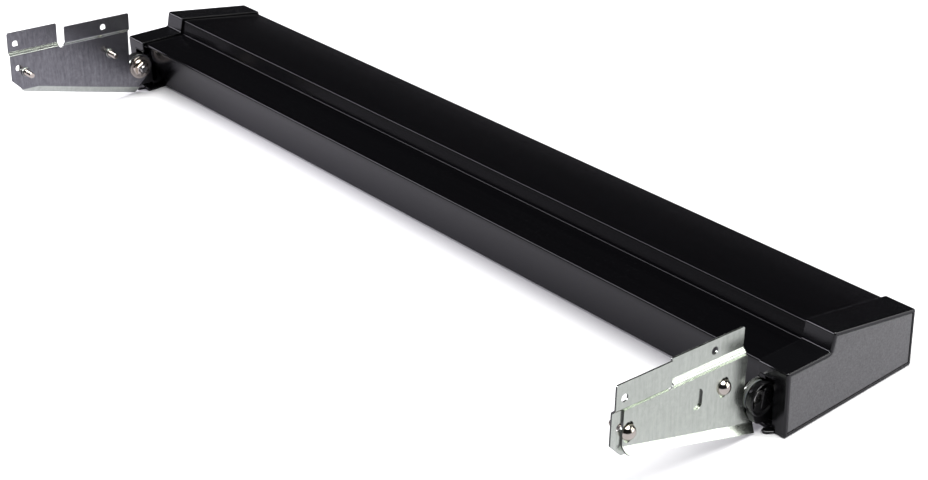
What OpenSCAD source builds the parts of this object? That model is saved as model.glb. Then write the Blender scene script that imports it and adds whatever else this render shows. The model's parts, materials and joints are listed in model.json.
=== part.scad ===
// Stepped hollow rail with moulded end caps, carried by two tilting side brackets.
// X runs along the rail, -Y is the front, +Z is up. The origin is under the middle of the
// rail's front edge, on the plane that the end caps stand on. All sizes are in millimetres.

/* [Rail] */
// Overall length over both end caps
rail_length = 914; // [600:1:1200]
// Depth of the end caps from front to rear
cap_depth = 148; // [130:1:190]
// Height of the end caps at the front edge
front_height = 56; // [52:0.5:70]
// Height of the end caps at the foot of the step
step_foot_height = 54; // [50:0.5:70]
// Height of the end caps at the top of the step
step_top_height = 69.5; // [66:0.5:90]
// Height of the end caps at the rear edge
rear_height = 50.5; // [46:0.5:66]
// Distance from the front to the foot of the step
step_foot_y = 47.5; // [44:0.5:60]
// Run of the step from its foot to its top
step_run = 4; // [2:0.5:12]
// How far the front face leans back from its top edge to its foot
front_lean = 18; // [12:0.5:24]
// Wall thickness of the extruded rail
rail_wall = 1.8; // [1.2:0.1:2.5]

/* [End caps] */
// Length of a cap's sleeve along the rail
sleeve_length = 28; // [24:0.5:40]
// Wall thickness of the sleeve
cap_wall = 2; // [1.5:0.1:2.5]
// Thickness of the cap's end wall behind the inlay
end_wall = 3.4; // [3:0.1:5]
// Thickness of the inlaid end panel
panel_thickness = 1.6; // [1:0.1:2.5]
// Width of the raised rim around the end panel
rim_width = 3; // [2:0.1:4]
// Width of the front window along the rail
window_width = 15.5; // [15:0.5:18]
// Height of the bridge that closes the window at the top
window_bridge = 10; // [8:0.5:10]
// Height of the sill below the window
window_sill = 4; // [3:0.5:5]

/* [Pivot] */
// Distance of the pivot axis in front of the cap
pivot_reach = 5.5; // [4:0.5:7]
// Height of the pivot axis
pivot_height = 29.5; // [29:0.5:31]
// Diameter of the hinge lug's outer rim
lug_diameter = 27.5; // [26:0.5:30]
// Thickness of the hinge lug
lug_thickness = 8; // [7:0.5:9]
// Diameter of the pivot bolt
pivot_diameter = 8; // [6:0.5:8]
// Diameter of the nickel pivot washer
washer_diameter = 24; // [20:0.5:24]
// Thickness of the friction washer between arm and lug
friction_thickness = 0.8; // [0.5:0.1:1.2]

/* [Brackets] */
// Sheet thickness of arm and plate
sheet = 1.5; // [1:0.1:2]
// Distance from the pivot to the front edge of the arm
arm_reach = 137.5; // [110:0.5:180]
// Height of the arm's top edge above the pivot
arm_rise = 38; // [36:0.5:50]
// Distance from the pivot to the rear edges of arm and plate
rear_setback = 13; // [12.5:0.5:20]
// Radius of the arm's pivot ear
ear_radius = 14; // [12:0.5:14]
// Depth of the arm's turned-out lower lip
lip_depth = 9; // [6:0.5:9]
// Slope of the lower lip, down towards the pivot
lip_slope = 13.5; // [10:0.5:13.5]
// Angle of the lower lip from the sheet
lip_angle = 32; // [15:1:45]
// Distance from the plate's front edge to the arm's front edge
plate_overhang = 10; // [6:0.5:20]
// Height of the plate's lower edge above the pivot
plate_foot = 1.5; // [0:0.5:4]
// Height of the plate's front flange above the joggle
front_flange = 19.5; // [18:0.5:30]
// Height of the plate's rear flange above the joggle
rear_flange = 16.5; // [16:0.5:30]
// Sideways offset of each half of the joggled flange
joggle = 3.2; // [1:0.1:3.5]
// Width of the notch that splits the flange
notch_width = 5.5; // [3:0.5:10]

/* [Fixings] */
// Pitch of the cabinet fixing holes and of the clamp bolts
hole_pitch = 96; // [64:32:96]
// Diameter of the cabinet fixing holes
hole_diameter = 6.5; // [4:0.1:7]
// Drop from the front flange hole to the lower fixing hole
lower_hole_drop = 25; // [22:0.5:26]
// Diameter of the clamp bolts
clamp_diameter = 6; // [5:0.5:6]
// Width of the arm's adjusting slots
slot_width = 9; // [8:0.5:10]
// Length of the arm's adjusting slots
slot_length = 17; // [14:0.5:18]

/* [Rest pose] */
// Upward tilt of the right bracket
right_tilt = 4; // [-10:0.5:16]
// Upward tilt of the left bracket
left_tilt = 4.5; // [-10:0.5:16]
// Height of the right plate from the middle of its slots
right_lift = 0; // [-0.5:0.5:5]
// Height of the left plate from the middle of its slots
left_lift = 4.5; // [-0.5:0.5:5]

/* [Hidden] */
$fn = 64;

// Clearances
cap_fit = 0.2;       // sleeve around the rail
panel_fit = 0.2;     // inlay in its recess, all round and below the rim
running_fit = 0.08;  // arm's ear around the pivot bolt, on the radius
bolt_fit = 0.05;     // bolt in its own lug, washer, nut or tapped hole, on the radius
sheet_gap = 0.1;     // flat faces that slide on each other
past = 1;            // how far a cutter runs past the face it opens

// Stations along X, measured from the middle of the rail
cap_outer_x = rail_length / 2;
sleeve_x = cap_outer_x - sleeve_length;
recess_x = cap_outer_x - panel_thickness - panel_fit;
end_wall_x = recess_x - end_wall;
rail_end_x = end_wall_x - cap_fit;
arm_x = sleeve_x + 1.5;              // inboard face of the arm
arm_outer_x = arm_x + sheet;
friction_x = arm_outer_x + sheet_gap;
lug_x = friction_x + friction_thickness + sheet_gap;
lug_outer_x = lug_x + lug_thickness;
plate_x = arm_x - sheet_gap - sheet; // inboard face of the plate
washer_thickness = 1.5;
washer_x = arm_x - sheet_gap - washer_thickness;
window_outer_x = sleeve_x + window_width;

// Outline of an end cap, counterclockwise, y from the front and z from the floor
step_top_y = step_foot_y + step_run;
cap_outline = [
    [0, 0], [cap_depth, 0], [cap_depth, rear_height],
    [step_top_y, step_top_height], [step_foot_y, step_foot_height], [0, front_height]
];
leaning_outline = [
    [front_lean, 0], [cap_depth, 0], [cap_depth, rear_height],
    [step_top_y, step_top_height], [step_foot_y, step_foot_height], [0, front_height]
];
rail_outline = inset(leaning_outline, cap_wall + cap_fit);

// Pocket cut out of the rail's front corners, which the hinge lugs stand in
pocket_depth = 38;
pocket_height = front_height - window_bridge;

// Upright web inside the rail, just behind the step
web_y = step_top_y + 6;

// Screw ports of the rail: centres as y from the front and z from the floor
port_radius = 4;
port_inset = 8;
screw_ports = [
    [cap_depth - port_inset, rear_height - port_inset],
    [cap_depth - port_inset, port_inset],
    [web_y + rail_wall / 2, step_top_height - 11]
];
cap_screw_diameter = 4;
cap_screw_length = 16;
cap_screw_head = 7;
cap_screw_head_depth = 2;

// Tongue of the cap's floor, in front of the window
tongue_x = arm_outer_x + 6.5;
tongue_width = 9;
tongue_reach = 6.5;

// Hinge lug
lug_foot_front = 9;      // y of the foot's front edge
lug_foot_rear = 34;      // y of the foot's rear edge
lug_foot_height = 4;
lug_foot_width = 15;
lug_root_diameter = washer_diameter; // next to the friction washer
lug_tail_height = 16;
leg_depth = 21.5;        // from the pivot axis to the bottom of the leg
dish_depth = 6;
dish_radius = lug_diameter / 2 - 1.2;
lug_screw_diameter = 3.5;
lug_screw_head = 6;
lug_screw_pitch = 14;

// Pivot fasteners
pivot_head_diameter = 13;
pivot_head_height = 2.2;
pivot_socket_depth = 1.6;
pivot_socket_width = 5.8;  // across corners
pivot_nut_height = 6;
pivot_nut_flange = 18;
pivot_nut_flange_height = 1.6;
pivot_nut_width = 13;    // across flats
pivot_tip = 2;           // length of thread past the nut

// Arm, in the pivot's own frame: y and z from the pivot axis
slot_z = 19.5;
first_bolt_y = -(arm_reach - 5.5);
slot_offsets = [0, 0.72, 1];         // shares of the hole pitch
corner_radius = 10;                  // lower front corner
corner_steps = 6;
corner_centre = [-arm_reach + corner_radius, 19];
lip_front = corner_centre - corner_radius * [sin(lip_slope), cos(lip_slope)];
lip_rear_y = -2;
lip_rear = [lip_rear_y, lip_front[1] - (lip_rear_y - lip_front[0]) * tan(lip_slope)];
lip_run = lip_rear - lip_front;

// Plate, in the pivot's own frame
plate_front = -(arm_reach + plate_overhang);
plate_rear = -rear_setback;
flange_gap = 0.6;                    // from the arm's top edge to the joggle, at the lowest setting
joggle_foot = arm_rise + flange_gap;
joggle_height = 4;
joggle_top = joggle_foot + joggle_height;
plate_chamfer = 11;
notch_y = plate_front + 54.5;          // front edge of the notch
first_hole_y = plate_front + 8;
hole_z = joggle_top + front_flange - 12;
collar_height = 1.8;
collar_radius = clamp_diameter / 2 + 1.6;

// Clamp bolts
dome_diameter = 12.5;
dome_height = 5;
dome_steps = 8;
shank_past_plate = 14;

// Polygon moved inwards by a distance, for a counterclockwise outline
function inward(a, b) = let (d = (b - a) / norm(b - a)) [-d[1], d[0]];
function inset(points, distance) = [
    for (i = [0 : len(points) - 1])
        let (
            before = points[(i + len(points) - 1) % len(points)],
            here = points[i],
            after = points[(i + 1) % len(points)],
            n1 = inward(before, here),
            n2 = inward(here, after)
        )
        here + distance * (n1 + n2) / (1 + n1 * n2)
];

// Extrudes a y-z outline from one x to another
module along_x(x_from, x_to) {
    translate([x_from, 0, 0]) rotate([90, 0, 90]) linear_extrude(x_to - x_from) children();
}

// Round bar along X between two x stations
module bar_x(x_from, x_to, diameter) {
    translate([x_from, 0, 0]) rotate([0, 90, 0]) cylinder(h = x_to - x_from, d = diameter);
}

// Cone frustum along X
module cone_x(x_from, x_to, d_from, d_to) {
    translate([x_from, 0, 0]) rotate([0, 90, 0]) cylinder(h = x_to - x_from, d1 = d_from, d2 = d_to);
}

// Pieces are drawn for the right end, and mirrored for the left end
module left_end() { mirror([1, 0, 0]) children(); }

// The pivot's own frame, turned to the bracket's tilt
module at_pivot(tilt = 0) {
    translate([0, -pivot_reach, pivot_height]) rotate([-tilt, 0, 0]) children();
}

// ---- Rail ----
module rail_section() {
    difference() {
        polygon(rail_outline);
        difference() {
            polygon(inset(rail_outline, rail_wall));
            translate([web_y, 0]) square([rail_wall, step_top_height]);
            for (port = screw_ports) translate(port) circle(r = port_radius);
        }
        for (port = screw_ports) translate(port) circle(d = cap_screw_diameter + 2 * bolt_fit);
    }
}

module rail_pocket_cutter() {
    translate([sleeve_x, -past, -past])
        cube([sleeve_length, pocket_depth + past, pocket_height + past]);
}

module rail_profile() {
    color([0.05, 0.05, 0.06]) difference() {
        along_x(-rail_end_x, rail_end_x) rail_section();
        rail_pocket_cutter();
        mirror([1, 0, 0]) rail_pocket_cutter();
    }
}

// ---- End cap ----
module end_cap() {
    color([0.09, 0.09, 0.1]) difference() {
        union() {
            along_x(sleeve_x, cap_outer_x) polygon(cap_outline);
            translate([tongue_x, -tongue_reach, 0]) cube([tongue_width, tongue_reach + past, cap_wall]);
        }
        along_x(sleeve_x - past, end_wall_x) polygon(inset(cap_outline, cap_wall));
        along_x(recess_x, cap_outer_x + past) polygon(inset(cap_outline, rim_width));
        translate([sleeve_x - past, -past, window_sill])
            cube([window_width + past, cap_wall + 2 * past, pocket_height - window_sill]);
        for (port = screw_ports) translate([0, port[0], port[1]]) {
            bar_x(end_wall_x - past, recess_x + past, cap_screw_diameter + 2 * bolt_fit);
            cone_x(recess_x - cap_screw_head_depth, recess_x,
                   cap_screw_diameter + 2 * bolt_fit, cap_screw_head + 2 * bolt_fit);
        }
        lug_screw_places() cylinder(h = 3 * past + cap_wall, d = lug_screw_diameter + 2 * bolt_fit);
        lug_screw_places() cylinder(h = cap_wall, d1 = lug_screw_head + 2 * bolt_fit,
                                    d2 = lug_screw_diameter + 2 * bolt_fit);
    }
}

module end_panel() {
    color([0.3, 0.3, 0.31])
        along_x(recess_x, recess_x + panel_thickness) polygon(inset(cap_outline, rim_width + panel_fit));
}

module cap_screws() {
    color("silver") for (port = screw_ports) translate([0, port[0], port[1]]) {
        bar_x(recess_x - cap_screw_length, recess_x - cap_screw_head_depth, cap_screw_diameter);
        cone_x(recess_x - cap_screw_head_depth, recess_x, cap_screw_diameter, cap_screw_head);
    }
}

// ---- Hinge lug ----
// Underside of the cap's floor, at each of the two lug screws
module lug_screw_places() {
    for (step = [-0.5, 0.5])
        translate([lug_x + lug_foot_width / 2,
                   (lug_foot_front + lug_foot_rear) / 2 + step * lug_screw_pitch, 0])
            children();
}

module hinge_lug() {
    foot_z = cap_wall;
    color([0.07, 0.07, 0.08]) difference() {
        union() {
            at_pivot() {
                cone_x(lug_x, lug_outer_x, lug_root_diameter, lug_diameter);
                along_x(lug_x, lug_outer_x) polygon([
                    [-lug_root_diameter / 2, 0], [-10.5, -12], [-6, -19.5], [2, -leg_depth],
                    [lug_foot_front + pivot_reach + past, -leg_depth],
                    [lug_foot_front + pivot_reach + past, 0]
                ]);
            }
            translate([lug_x, -pivot_reach, pivot_height - lug_tail_height / 2])
                cube([lug_thickness, lug_foot_rear + pivot_reach, lug_tail_height]);
            translate([lug_x, lug_foot_front, foot_z])
                cube([lug_thickness, lug_foot_rear - lug_foot_front, pivot_height - foot_z]);
            translate([lug_x, lug_foot_front, foot_z])
                cube([lug_foot_width, lug_foot_rear - lug_foot_front, lug_foot_height]);
        }
        at_pivot() {
            bar_x(lug_x - past, lug_outer_x + past, pivot_diameter + 2 * bolt_fit);
            cone_x(lug_outer_x - dish_depth, lug_outer_x + past,
                   pivot_head_diameter + 1, 2 * dish_radius);
        }
        lug_screw_places()
            cylinder(h = cap_wall + lug_foot_height + past, d = lug_screw_diameter + 2 * bolt_fit);
    }
}

module lug_screws() {
    color("silver") lug_screw_places() {
        cylinder(h = cap_wall, d1 = lug_screw_head, d2 = lug_screw_diameter);
        cylinder(h = cap_wall + lug_foot_height, d = lug_screw_diameter);
    }
}

// ---- Pivot fasteners ----
nut_x = washer_x - pivot_nut_height;

module pivot_bolt() {
    head_x = lug_outer_x - dish_depth;
    color("silver") at_pivot() difference() {
        union() {
            bar_x(nut_x - pivot_tip, head_x, pivot_diameter);
            bar_x(head_x, head_x + pivot_head_height, pivot_head_diameter);
        }
        translate([head_x + pivot_head_height - pivot_socket_depth, 0, 0]) rotate([0, 90, 0])
            cylinder(h = pivot_head_height, d = pivot_socket_width, $fn = 6);
    }
}

module pivot_nut() {
    bore = pivot_diameter + 2 * bolt_fit;
    color([0.85, 0.82, 0.75]) at_pivot() difference() {
        union() {
            bar_x(washer_x - pivot_nut_flange_height, washer_x, pivot_nut_flange);
            translate([nut_x, 0, 0]) rotate([0, 90, 0])
                cylinder(h = pivot_nut_height, d = pivot_nut_width / cos(30), $fn = 6);
        }
        bar_x(nut_x - past, washer_x + past, bore);
    }
}

module pivot_washer() {
    color([0.85, 0.82, 0.75]) at_pivot() difference() {
        bar_x(washer_x, washer_x + washer_thickness, washer_diameter);
        bar_x(washer_x - past, arm_x, pivot_diameter + 2 * bolt_fit);
    }
}

module friction_washer() {
    color([0.8, 0.8, 0.78]) at_pivot() difference() {
        bar_x(friction_x, friction_x + friction_thickness, washer_diameter);
        bar_x(friction_x - past, lug_x, pivot_diameter + 2 * bolt_fit);
    }
}

// ---- Arm ----
module slot_outline() {
    for (end = [-0.5, 0.5])
        translate([0, slot_z + end * (slot_length - slot_width)]) circle(d = slot_width);
    translate([-slot_width / 2, slot_z - (slot_length - slot_width) / 2])
        square([slot_width, slot_length - slot_width]);
}

module arm_outline() {
    difference() {
        union() {
            polygon([
                [-arm_reach, arm_rise], [-rear_setback, arm_rise], [-rear_setback, 0], [0, 0], lip_rear,
                for (step = [corner_steps : -1 : 0])
                    let (turn = (90 - lip_slope) * step / corner_steps)
                    corner_centre - corner_radius * [cos(turn), sin(turn)]
            ]);
            circle(r = ear_radius);
            // Straight rear edge from the ear down to the lip
            polygon([[0, 0], [ear_radius, 0], lip_rear]);
        }
        circle(d = pivot_diameter + 2 * running_fit);
        for (offset = slot_offsets)
            translate([first_bolt_y + offset * hole_pitch, 0]) slot_outline();
    }
}

// Turned-out lip along the arm's lower edge
module arm_lip() {
    out = lip_depth * [sin(lip_angle), -cos(lip_angle)];
    across = sheet * [cos(lip_angle), sin(lip_angle)];
    translate([arm_x, lip_front[0], lip_front[1]]) rotate([-lip_slope, 0, 0]) rotate([90, 0, 180])
        mirror([1, 0, 0]) linear_extrude(norm(lip_run))
            polygon([
                [0, 0], out, out + across, [sheet, sheet * sin(lip_angle) / 2], [sheet, sheet], [0, sheet]
            ]);
}

module arm(tilt) {
    color([0.74, 0.76, 0.74]) at_pivot(tilt) {
        along_x(arm_x, arm_outer_x) arm_outline();
        arm_lip();
    }
}

// ---- Plate ----
// Strip of the plate with its flange joggled sideways by a shift
module joggled_strip(y_from, y_to, shift, top) {
    translate([plate_x, y_to, 0]) rotate([90, 0, 0]) linear_extrude(y_to - y_from)
        polygon([
            [0, plate_foot], [sheet, plate_foot], [sheet, joggle_foot], [sheet + shift, joggle_top],
            [sheet + shift, top], [shift, top], [shift, joggle_top], [0, joggle_foot]
        ]);
}

module plate_bolt_places() {
    for (offset = [0, 1])
        translate([0, first_bolt_y + offset * hole_pitch, slot_z]) children();
}

module plate(tilt, lift) {
    color([0.74, 0.76, 0.74]) at_pivot(tilt) translate([0, 0, lift]) difference() {
        union() {
            joggled_strip(plate_front, notch_y, joggle, joggle_top + front_flange);
            joggled_strip(notch_y + notch_width, plate_rear, -joggle, joggle_top + rear_flange);
            along_x(plate_x, plate_x + sheet) polygon([
                [notch_y, plate_foot], [notch_y + notch_width, plate_foot],
                [notch_y + notch_width, joggle_foot], [notch_y + notch_width / 2, joggle_foot - 2.5],
                [notch_y, joggle_foot]
            ]);
            plate_bolt_places() bar_x(plate_x - collar_height, plate_x, 2 * collar_radius);
        }
        plate_bolt_places() bar_x(plate_x - collar_height - past, plate_x + sheet + past,
                                  clamp_diameter + 2 * bolt_fit);
        for (hole = [[first_hole_y, hole_z], [first_hole_y + hole_pitch, hole_z],
                     [first_hole_y, hole_z - lower_hole_drop]])
            translate([0, hole[0], hole[1]])
                bar_x(plate_x - joggle - past, plate_x + sheet + joggle + past, hole_diameter);
        translate([plate_x - past, plate_front, plate_foot]) rotate([45, 0, 0])
            translate([0, -plate_chamfer, -plate_chamfer / sqrt(2)])
                cube([sheet + 2 * past, 2 * plate_chamfer, plate_chamfer * sqrt(2)]);
    }
}

// Domed head that stands on the plane x = 0
module domed_head(diameter, height) {
    radius = (pow(diameter / 2, 2) + pow(height, 2)) / (2 * height);
    half_angle = asin(diameter / 2 / radius);
    rotate([0, 90, 0]) rotate_extrude() polygon([
        [0, 0],
        for (step = [dome_steps : -1 : 0])
            let (angle = half_angle * step / dome_steps)
            [radius * sin(angle), height - radius + radius * cos(angle)]
    ]);
}

module clamp_bolts(tilt, lift) {
    head_x = arm_outer_x + sheet_gap;
    color([0.85, 0.82, 0.75]) at_pivot(tilt) translate([0, 0, lift]) plate_bolt_places() {
        bar_x(plate_x - shank_past_plate, head_x, clamp_diameter);
        translate([head_x, 0, 0]) domed_head(dome_diameter, dome_height);
    }
}

rail_profile();
left_end() end_cap();  // left_end_cap
end_cap();  // right_end_cap
left_end() end_panel();  // left_end_panel
end_panel();  // right_end_panel
left_end() cap_screws();  // left_cap_screws
cap_screws();  // right_cap_screws
left_end() hinge_lug();  // left_hinge_lug
hinge_lug();  // right_hinge_lug
left_end() lug_screws();  // left_lug_screws
lug_screws();  // right_lug_screws
left_end() pivot_bolt();  // left_pivot_bolt
pivot_bolt();  // right_pivot_bolt
left_end() pivot_nut();  // left_pivot_nut
pivot_nut();  // right_pivot_nut
left_end() pivot_washer();  // left_pivot_washer
pivot_washer();  // right_pivot_washer
left_end() friction_washer();  // left_friction_washer
friction_washer();  // right_friction_washer
left_end() arm(left_tilt);  // left_arm
arm(right_tilt);  // right_arm
left_end() plate(left_tilt, left_lift);  // left_plate
plate(right_tilt, right_lift);  // right_plate
left_end() clamp_bolts(left_tilt, left_lift);  // left_clamp_bolts
clamp_bolts(right_tilt, right_lift);  // right_clamp_bolts
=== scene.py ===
"""Looks of the stepped rail: black rail and end caps, galvanised side brackets, nickel bolts.

Pieces are built in millimetres for the right end, then mirrored for the left end.
X runs along the rail, -Y is the front, +Z is up.
"""
import json
import math

import bmesh
import bpy
from mathutils import Matrix, Vector


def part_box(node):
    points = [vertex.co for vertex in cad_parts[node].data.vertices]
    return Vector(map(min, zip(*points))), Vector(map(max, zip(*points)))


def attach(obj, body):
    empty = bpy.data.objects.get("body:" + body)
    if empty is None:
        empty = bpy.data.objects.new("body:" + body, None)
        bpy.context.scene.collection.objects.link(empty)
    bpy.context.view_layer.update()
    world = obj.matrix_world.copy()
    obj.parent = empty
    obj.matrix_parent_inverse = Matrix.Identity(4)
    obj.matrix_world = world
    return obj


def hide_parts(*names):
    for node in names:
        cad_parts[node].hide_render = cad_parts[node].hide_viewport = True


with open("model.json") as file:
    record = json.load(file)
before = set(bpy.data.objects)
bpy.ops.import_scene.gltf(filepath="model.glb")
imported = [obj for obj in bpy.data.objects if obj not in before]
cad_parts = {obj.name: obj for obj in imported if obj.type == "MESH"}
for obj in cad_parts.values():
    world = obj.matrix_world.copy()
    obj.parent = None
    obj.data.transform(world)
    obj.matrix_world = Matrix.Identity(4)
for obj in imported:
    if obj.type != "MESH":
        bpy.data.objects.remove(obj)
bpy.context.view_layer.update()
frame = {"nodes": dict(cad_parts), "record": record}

MM = 0.001
SIDES = {"right": 1, "left": -1}
record = frame["record"]
joints = {joint["name"]: joint for joint in record["behaviour"]["joints"]}


def box_mm(node):
    """Lowest and highest corner of a CAD node, in millimetres."""
    low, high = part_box(node)
    return low / MM, high / MM


# ---- Sizes, read from the frame where it has them ----
cap_low, cap_high = box_mm("right_end_cap")
SLEEVE_X, CAP_X, CAP_DEPTH, STEP_TOP_Z = cap_low.x, cap_high.x, cap_high.y, cap_high.z
PANEL_X0, PANEL_X1 = (corner.x for corner in box_mm("right_end_panel"))
LUG_X = box_mm("right_hinge_lug")[0].x
ARM_X = box_mm("right_arm")[0].x
WASHER_X0, WASHER_X1 = (corner.x for corner in box_mm("right_pivot_washer"))
NUT_X0 = box_mm("right_pivot_nut")[0].x
BOLT_TIP_X, BOLT_HEAD_X = (corner.x for corner in box_mm("right_pivot_bolt"))
RAIL_END_X = box_mm("rail_profile")[1].x
SHANK_TIP_X, DOME_TOP_X = (corner.x for corner in box_mm("right_clamp_bolts"))

SHEET = 1.5
SHEET_GAP = 0.1
PLATE_X = ARM_X - SHEET_GAP - SHEET
PIVOT = Vector(joints["right_arm_tilt"]["pos_m"]) / MM
TILT = {side: math.atan2(joints[f"{side}_plate_lift"]["axis"][1], joints[f"{side}_plate_lift"]["axis"][2])
        for side in SIDES}
SLOT_TRAVEL = 5.0
LIFT = {side: SLOT_TRAVEL - joints[f"{side}_plate_lift"]["range_m"][1] / MM for side in SIDES}

# Section of the cap and the rail, y from the front and z from the floor
FRONT_Z, STEP_FOOT, REAR_Z = 56.0, Vector((47.5, 54.0)), 50.5
FRONT_LEAN = 18.0
STEP_TOP_Y = STEP_FOOT.x + 4.0
CAP_WALL, CAP_FIT, RAIL_WALL = 2.0, 0.2, 1.8
END_WALL, RIM = 3.4, 3.0
WINDOW_WIDTH, WINDOW_SILL, WINDOW_TOP = 15.5, 4.0, 46.0
POCKET_DEPTH = 38.0
PAST = 5                                 # how far a cutting solid reaches past what it cuts
TONGUE_X, TONGUE_WIDTH, TONGUE_REACH = ARM_X + SHEET + 6.5, 9.0, 6.5

# Bracket, y and z from the pivot axis
ARM_REACH, ARM_RISE, REAR_SETBACK = 137.5, 38.0, 13.0
EAR_RADIUS = 14.0
LIP_SLOPE, LIP_DEPTH, LIP_ANGLE = math.radians(13.5), 9.0, math.radians(32.0)
LIP_BEND_RADIUS = 3.0
LIP_FRONT = Vector((-129.83, 9.28))
SLOT_Z, SLOT_WIDTH, SLOT_LENGTH = 19.5, 9.0, 17.0
HOLE_PITCH, HOLE_DIAMETER = 96.0, 6.5
BOLT_YS = (-132.0, -132.0 + HOLE_PITCH)
SLOT_YS = (BOLT_YS[0], BOLT_YS[0] + 0.72 * HOLE_PITCH, BOLT_YS[1])
PLATE_FRONT, PLATE_FOOT = -147.5, 1.5
JOGGLE, JOGGLE_FOOT, JOGGLE_TOP = 3.2, 38.6, 42.6
FRONT_FLANGE, REAR_FLANGE = 19.5, 16.5
NOTCH_FRONT, NOTCH_REAR = -93.0, -87.5
PLATE_CHAMFER = 11.0
HOLE_Y, HOLE_Z, LOWER_HOLE_DROP = -139.5, 50.1, 25.0

# Hinge lug, measured outwards from its inboard face
LUG_DEPTH, LUG_DISH, LUG_RIM = 8, 6, 13.75

# Fasteners
PIVOT_DIAMETER, CLAMP_DIAMETER = 8.0, 6.0
PIVOT_PITCH, CLAMP_PITCH = 1.25, 1.0
PIVOT_HEAD_RADIUS, SOCKET_RADIUS = 6.5, 2.9
WASHER_DIAMETER, NUT_WIDTH, NUT_FLANGE = 24.0, 13.0, 18.0
DOME_DIAMETER = 12.5


# ---- Outlines ----
def corners(*points):
    return [Vector(point) for point in points]


def arc(centre, radius, start, end, steps):
    """Points on an arc, angles in degrees, both ends included."""
    centre = Vector(centre)
    points = []
    for step in range(steps + 1):
        angle = math.radians(start + (end - start) * step / steps)
        points.append(centre + radius * Vector((math.cos(angle), math.sin(angle))))
    return points


def inset(points, distance):
    """A counterclockwise outline moved inwards."""
    moved = []
    for i, here in enumerate(points):
        to_here = (here - points[i - 1]).normalized()
        to_next = (points[(i + 1) % len(points)] - here).normalized()
        n1, n2 = Vector((-to_here.y, to_here.x)), Vector((-to_next.y, to_next.x))
        moved.append(here + distance * (n1 + n2) / (1 + n1.dot(n2)))
    return moved


def rounded(points, radii, steps=5):
    """An outline with an arc of its own radius at each corner."""
    path = []
    for i, here in enumerate(points):
        back = (points[i - 1] - here).normalized()
        ahead = (points[(i + 1) % len(points)] - here).normalized()
        half = back.angle(ahead) / 2
        radius = radii[i]
        centre = here + (back + ahead).normalized() * radius / math.sin(half)
        start, end = (here + side * radius / math.tan(half) - centre for side in (back, ahead))
        turn = start.angle_signed(end)
        for step in range(steps + 1):
            angle = -turn * step / steps
            path.append(centre + Matrix.Rotation(angle, 2) @ start)
    return path


def circle(centre, radius, steps=40):
    return arc(centre, radius, 0, 360 * (1 - 1 / steps), steps - 1)


def slot(centre_y):
    """Upright slot with round ends."""
    run = (SLOT_LENGTH - SLOT_WIDTH) / 2
    return (arc((centre_y, SLOT_Z + run), SLOT_WIDTH / 2, 0, 180, 12)
            + arc((centre_y, SLOT_Z - run), SLOT_WIDTH / 2, 180, 360, 12))


CAP_CORNERS = corners((0, 0), (CAP_DEPTH, 0), (CAP_DEPTH, REAR_Z), (STEP_TOP_Y, STEP_TOP_Z),
                      STEP_FOOT, (0, FRONT_Z))
LEAN_CORNERS = [Vector((FRONT_LEAN, 0)), *CAP_CORNERS[1:]]
CORNER_TURNS = (1, 1, 1, 1, -1, 1)       # the step's foot is the one hollow corner
CAP_ROUNDS = (2.2, 2.2, 2.2, 2.4, 1.6, 2.2)
RAIL_ROUNDS = (0.8, 1.0, 1.2, 1.5, 1.2, 2.0)
SMALLEST_ROUND = 0.25


def section(outline, distance, rounds, from_distance=0.0):
    """Section moved inwards by a distance; its rounds are those of the section at from_distance."""
    radii = [max(radius - turn * (distance - from_distance), SMALLEST_ROUND)
             for radius, turn in zip(rounds, CORNER_TURNS)]
    return rounded(inset(outline, distance), radii)


# ---- Meshes ----
def loft(bm, rings, close_start=True, close_end=True):
    """Skins a row of rings that have the same number of points."""
    rows = [[bm.verts.new(point) for point in ring] for ring in rings]
    count = len(rows[0])
    for first, second in zip(rows, rows[1:]):
        for i in range(count):
            bm.faces.new((first[i], first[(i + 1) % count], second[(i + 1) % count], second[i]))
    if close_start:
        bm.faces.new(rows[0][::-1])
    if close_end:
        bm.faces.new(rows[-1])
    return rows


def along_x(outline, x):
    return [Vector((x, point.x, point.y)) for point in outline]


def extrude_x(bm, outline, x_from, x_to):
    loft(bm, [along_x(outline, x_from), along_x(outline, x_to)])


def around_x(x, centre, radius, angle):
    """Point at a radius and an angle from an axis along X."""
    return Vector((x, centre[0] + radius * math.cos(angle), centre[1] + radius * math.sin(angle)))


def turned(bm, rows, centre=(0, 0), steps=48, closed=False):
    """Turns (x, radius) rows about an axis along X; a third value of 6 makes that row a hexagon."""
    rings = []
    for x, radius, *sides in rows:
        ring = []
        for step in range(steps):
            angle = 2 * math.pi * step / steps
            reach = radius
            if sides:
                wedge = math.pi / sides[0]
                reach = radius * math.cos(wedge) / math.cos((angle + wedge) % (2 * wedge) - wedge)
            ring.append(around_x(x, centre, reach, angle))
        rings.append(ring)
    if closed:
        rings.append(rings[0])
    loft(bm, rings, not closed, not closed)
    if closed:
        bmesh.ops.remove_doubles(bm, verts=bm.verts, dist=1e-5)


def rounded_rows(rows, radius, steps=4, closed=False):
    """Rounds the corners of a turned profile."""
    points = [Vector(row) for row in rows]
    path = []
    last = len(points) - 1
    for i, here in enumerate(points):
        if not closed and i in (0, last):
            path.append(here)
            continue
        before, after = points[i - 1], points[(i + 1) % len(points)]
        room = min((before - here).length, (after - here).length) * 0.49
        back, ahead = (before - here).normalized(), (after - here).normalized()
        reach = min(radius, room)
        for step in range(steps + 1):
            t = step / steps
            path.append(here + back * reach * (1 - t) ** 2 + ahead * reach * t ** 2)
    return [(point.x, point.y) for point in path]


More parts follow.
